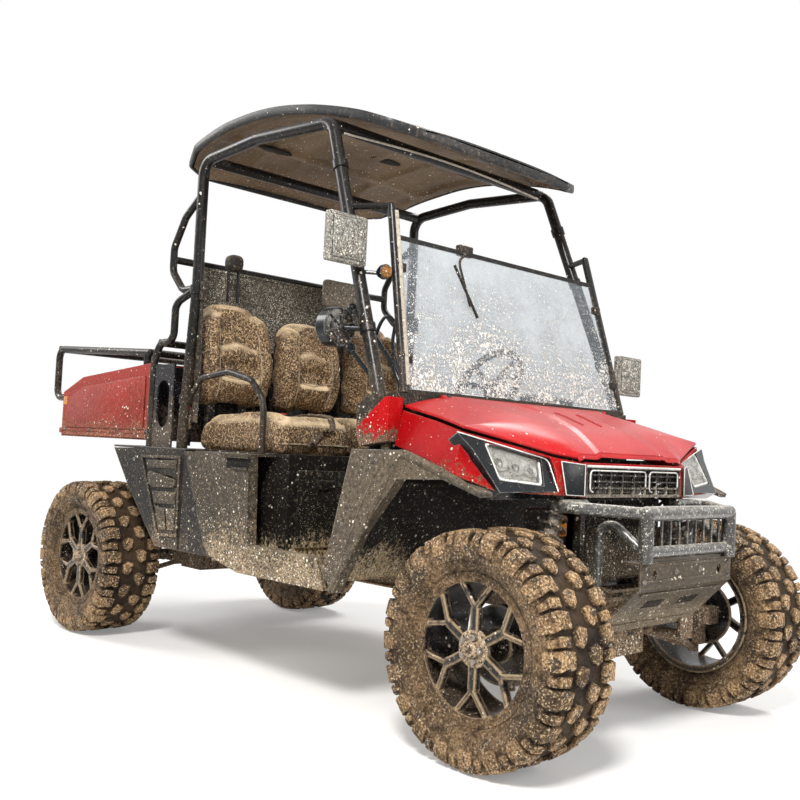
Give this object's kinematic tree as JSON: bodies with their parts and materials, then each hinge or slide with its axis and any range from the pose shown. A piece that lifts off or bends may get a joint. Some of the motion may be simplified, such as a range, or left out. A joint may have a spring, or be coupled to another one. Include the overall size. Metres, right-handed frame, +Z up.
{
  "type": "side by side utility vehicle",
  "caption": "Open-cab side-by-side utility vehicle with roll cage and roof, steered front wheels, hinged hood, tilting cargo bed and drop-down tailgate.",
  "frame": {"origin": "on the ground under the middle of the vehicle's length and width", "axes": "+X forward along the vehicle, +Y to its left, +Z up"},
  "size_m": [3.08, 1.6, 2.1315],
  "materials": {
    "tyre_rubber": "matte",
    "rim_black": "satin",
    "cast_steel": "rough",
    "arm_paint": "satin",
    "damper_steel": "satin",
    "rack_steel": "satin",
    "frame_paint": "satin",
    "engine_alloy": "matte",
    "muffler_steel": "matte",
    "floor_plastic": "matte",
    "body_plastic": "matte",
    "red_body": "gloss",
    "cowl_plastic": "matte",
    "bezel_black": "gloss",
    "lamp_lens": "gloss",
    "radiator_alloy": "matte",
    "bumper_paint": "satin",
    "cage_paint": "satin",
    "roof_plastic": "satin",
    "screen_clear": "gloss",
    "wheel_grip": "matte",
    "seat_vinyl": "matte",
    "screen_cover": "matte",
    "mirror_black": "gloss",
    "round_lamp_glass": "gloss",
    "bed_red": "satin"
  },
  "bodies": {
    "chassis": {"rear_hubs": "cast_steel", "front_drive": "cast_steel", "rear_drive": "cast_steel", "front_arms": "arm_paint", "rear_arms": "arm_paint", "dampers": "damper_steel", "frame": "frame_paint", "belly_plate": "frame_paint", "hitch_receiver": "frame_paint", "engine_block": "engine_alloy", "muffler": "muffler_steel", "floor_tub": "floor_plastic", "side_panel_left": "body_plastic", "side_panel_right": "body_plastic", "rear_fender_left": "body_plastic", "rear_fender_right": "body_plastic", "front_fender_left": "body_plastic", "front_fender_right": "body_plastic", "quarter_panels": "body_plastic", "nose": "red_body", "cowl": "cowl_plastic", "cowl_corner_left": "cowl_plastic", "cowl_corner_right": "cowl_plastic", "dash": "cowl_plastic", "lamp_bezels": "bezel_black", "grille": "bezel_black", "headlamps": "lamp_lens", "radiator": "radiator_alloy", "front_bumper": "bumper_paint", "skid_plate": "bumper_paint", "roll_cage": "cage_paint", "cage_bows": "cage_paint", "cage_hoops": "cage_paint", "hip_rails": "cage_paint", "windshield_frame": "cage_paint", "roof": "roof_plastic", "windshield": "screen_clear", "seat_cushions": "seat_vinyl", "seat_backs": "seat_vinyl", "headrests": "seat_vinyl", "rear_screen": "screen_cover", "mirror_left": "mirror_black", "mirror_right": "mirror_black", "round_lamp": "round_lamp_glass"},
    "steering_wheel": {"steering_wheel": "wheel_grip"},
    "steering_rack": {"steering_rack": "rack_steel"},
    "knuckle_left": {"knuckle_left": "cast_steel"},
    "knuckle_right": {"knuckle_right": "cast_steel"},
    "wheel_front_left": {"tyre_front_left": "tyre_rubber", "rim_front_left": "rim_black"},
    "wheel_front_right": {"tyre_front_right": "tyre_rubber", "rim_front_right": "rim_black"},
    "wheel_rear_left": {"tyre_rear_left": "tyre_rubber", "rim_rear_left": "rim_black"},
    "wheel_rear_right": {"tyre_rear_right": "tyre_rubber", "rim_rear_right": "rim_black"},
    "hood": {"hood": "red_body"},
    "cargo_bed": {"cargo_bed": "bed_red", "bed_rack": "cage_paint"},
    "tailgate": {"tailgate": "bed_red"}
  },
  "joints": [
    {"name": "steer", "type": "hinge", "parent": "chassis", "child": "steering_wheel", "pos_m": [0.36, 0.33, 1.13], "axis": [0.848, 0, -0.5299], "range_deg": [-270, 270]},
    {"name": "rack_slide", "type": "slide", "parent": "chassis", "child": "steering_rack", "axis": [0, 1, 0], "range_m": [-0.047, 0.047]},
    {"name": "kingpin_left", "type": "hinge", "parent": "chassis", "child": "knuckle_left", "pos_m": [1.21, 0.515, 0.33], "axis": [0, 0, 1], "range_deg": [-25.2, 25.2]},
    {"name": "kingpin_right", "type": "hinge", "parent": "chassis", "child": "knuckle_right", "pos_m": [1.21, -0.515, 0.33], "axis": [0, 0, 1], "range_deg": [-25.2, 25.2]},
    {"name": "wheel_spin_front_left", "type": "hinge", "parent": "knuckle_left", "child": "wheel_front_left", "pos_m": [1.21, 0.59, 0.33], "axis": [0, 1, 0], "continuous": true},
    {"name": "wheel_spin_front_right", "type": "hinge", "parent": "knuckle_right", "child": "wheel_front_right", "pos_m": [1.21, -0.59, 0.33], "axis": [0, 1, 0], "continuous": true},
    {"name": "wheel_spin_rear_left", "type": "hinge", "parent": "chassis", "child": "wheel_rear_left", "pos_m": [-1.09, 0.59, 0.33], "axis": [0, 1, 0], "continuous": true},
    {"name": "wheel_spin_rear_right", "type": "hinge", "parent": "chassis", "child": "wheel_rear_right", "pos_m": [-1.09, -0.59, 0.33], "axis": [0, 1, 0], "continuous": true},
    {"name": "hood_hinge", "type": "hinge", "parent": "chassis", "child": "hood", "pos_m": [0.84, 0, 1.034], "axis": [0, -1, 0], "range_deg": [0, 60]},
    {"name": "bed_tilt", "type": "hinge", "parent": "chassis", "child": "cargo_bed", "pos_m": [-1.315, 0, 0.8], "axis": [0, -1, 0], "range_deg": [0, 45]},
    {"name": "tailgate_hinge", "type": "hinge", "parent": "cargo_bed", "child": "tailgate", "pos_m": [-1.432, 0, 0.876], "axis": [0, -1, 0], "range_deg": [0, 90]}
  ],
  "couplings": [
    {"joint": "rack_slide", "follows": "steer", "m_per_rad": 0.0098655},
    {"joint": "kingpin_left", "follows": "steer", "ratio": -0.092593},
    {"joint": "kingpin_right", "follows": "steer", "ratio": -0.092593}
  ]
}
